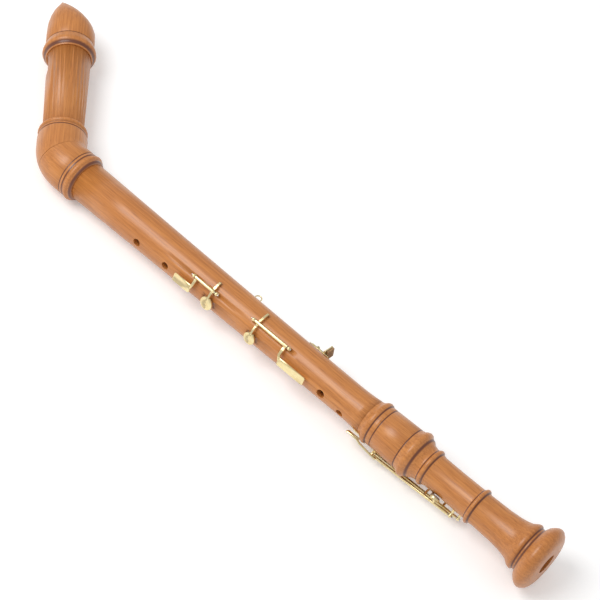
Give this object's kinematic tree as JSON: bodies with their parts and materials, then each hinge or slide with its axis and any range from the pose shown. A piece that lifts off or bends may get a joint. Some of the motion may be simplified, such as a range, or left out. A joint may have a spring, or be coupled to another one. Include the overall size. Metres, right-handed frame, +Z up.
{
  "type": "bass recorder",
  "caption": "Bass recorder with a bent head: turned wooden head, knee, body and foot on cork-wrapped tenons, with brass keys, strap ring and thumb rest.",
  "frame": {"origin": "centre of the bounding box on the surface that the instrument lies on", "axes": "+X along the body towards the bell, +Y towards the player's side, +Z up, away from the surface it lies on"},
  "size_m": [0.9044, 0.2126, 0.075],
  "materials": {
    "pear_wood": "oiled and polished",
    "cedar": "plain",
    "brass": "satin",
    "steel": "satin",
    "cork": "plain cork",
    "pad_leather": "soft"
  },
  "bodies": {
    "middle": {"middle_joint": "pear_wood", "upper_tenon_cork": "cork", "foot_tenon_cork": "cork", "key_3_post_a": "brass", "key_3_post_b": "brass", "key_3_rod": "steel", "key_3_spring": "steel", "key_4_post_a": "brass", "key_4_post_b": "brass", "key_4_rod": "steel", "key_4_spring": "steel", "strap_ring": "brass", "thumb_rest_plate": "brass"},
    "knee": {"knee_lower": "pear_wood", "knee_upper": "pear_wood"},
    "head": {"head_tube": "pear_wood", "head_tenon_cork": "cork", "cap_tenon_cork": "cork"},
    "windway_block": {"block": "cedar"},
    "beak_cap": {"cap": "pear_wood"},
    "foot": {"foot_joint": "pear_wood", "low_f_post_a": "brass", "low_f_post_b": "brass", "low_f_rod": "steel", "low_f_spring": "steel", "low_sharp_post_a": "brass", "low_sharp_post_b": "brass", "low_sharp_rod": "steel", "low_sharp_spring": "steel"},
    "key_3": {"key_3_lever": "brass", "key_3_pad": "pad_leather", "key_3_stop_cork": "cork"},
    "key_4": {"key_4_lever": "brass", "key_4_pad": "pad_leather", "key_4_stop_cork": "cork"},
    "low_f_key": {"low_f_lever": "brass", "low_f_pad": "pad_leather", "low_f_stop_cork": "cork"},
    "low_sharp_key": {"low_sharp_lever": "brass", "low_sharp_pad": "pad_leather", "low_sharp_stop_cork": "cork"},
    "thumb_rest": {"thumb_hook": "brass", "thumb_hook_cork": "cork"},
    "clamp_screw": {"thumb_screw": "brass"}
  },
  "joints": [
    {"name": "knee_turn", "type": "hinge", "parent": "middle", "child": "knee", "pos_m": [-0.22575, -0.06885, 0.03047], "axis": [0.9999, 0, 0.0105], "continuous": true},
    {"name": "head_pull", "type": "slide", "parent": "knee", "child": "head", "axis": [-0.6911, 0.7226, 0.0152], "range_m": [0, 0.03]},
    {"name": "cap_pull", "type": "slide", "parent": "head", "child": "beak_cap", "axis": [-0.6911, 0.7226, 0.0152], "range_m": [0, 0.046]},
    {"name": "block_push", "type": "slide", "parent": "head", "child": "windway_block", "axis": [-0.6911, 0.7226, 0.0152], "range_m": [0, 0.01]},
    {"name": "foot_turn", "type": "hinge", "parent": "middle", "child": "foot", "pos_m": [0.21093, -0.06885, 0.03505], "axis": [0.9999, 0, 0.0105], "continuous": true},
    {"name": "key_3_press", "type": "hinge", "parent": "middle", "child": "key_3", "pos_m": [-0.03956, -0.08656, 0.05155], "axis": [1, 0.0076, 0.0023], "range_deg": [0, 8.2], "stiffness_Nm_per_rad": 0.05, "springref_deg": -11.46},
    {"name": "key_4_press", "type": "hinge", "parent": "middle", "child": "key_4", "pos_m": [0.04641, -0.08199, 0.05453], "axis": [1, 0.0047, 0.0029], "range_deg": [0, 6.8], "stiffness_Nm_per_rad": 0.05, "springref_deg": -11.46},
    {"name": "low_f_press", "type": "hinge", "parent": "foot", "child": "low_f_key", "pos_m": [0.23521, -0.08189, 0.00762], "axis": [0.9989, 0.0159, 0.0443], "range_deg": [0, 8.8], "stiffness_Nm_per_rad": 0.05, "springref_deg": -11.46},
    {"name": "low_sharp_press", "type": "hinge", "parent": "foot", "child": "low_sharp_key", "pos_m": [0.23517, -0.0882, 0.0116], "axis": [-0.9989, -0.0236, -0.0394], "range_deg": [0, 8.6], "stiffness_Nm_per_rad": 0.05, "springref_deg": -11.46},
    {"name": "thumb_rest_slide", "type": "slide", "parent": "middle", "child": "thumb_rest", "axis": [0.9999, 0, 0.0105], "range_m": [-0.004, 0.004]},
    {"name": "clamp_screw_turn", "type": "hinge", "parent": "middle", "child": "clamp_screw", "pos_m": [0.11163, -0.06885, 0.03401], "axis": [-0.0009, 0.9965, 0.0833], "continuous": true}
  ]
}
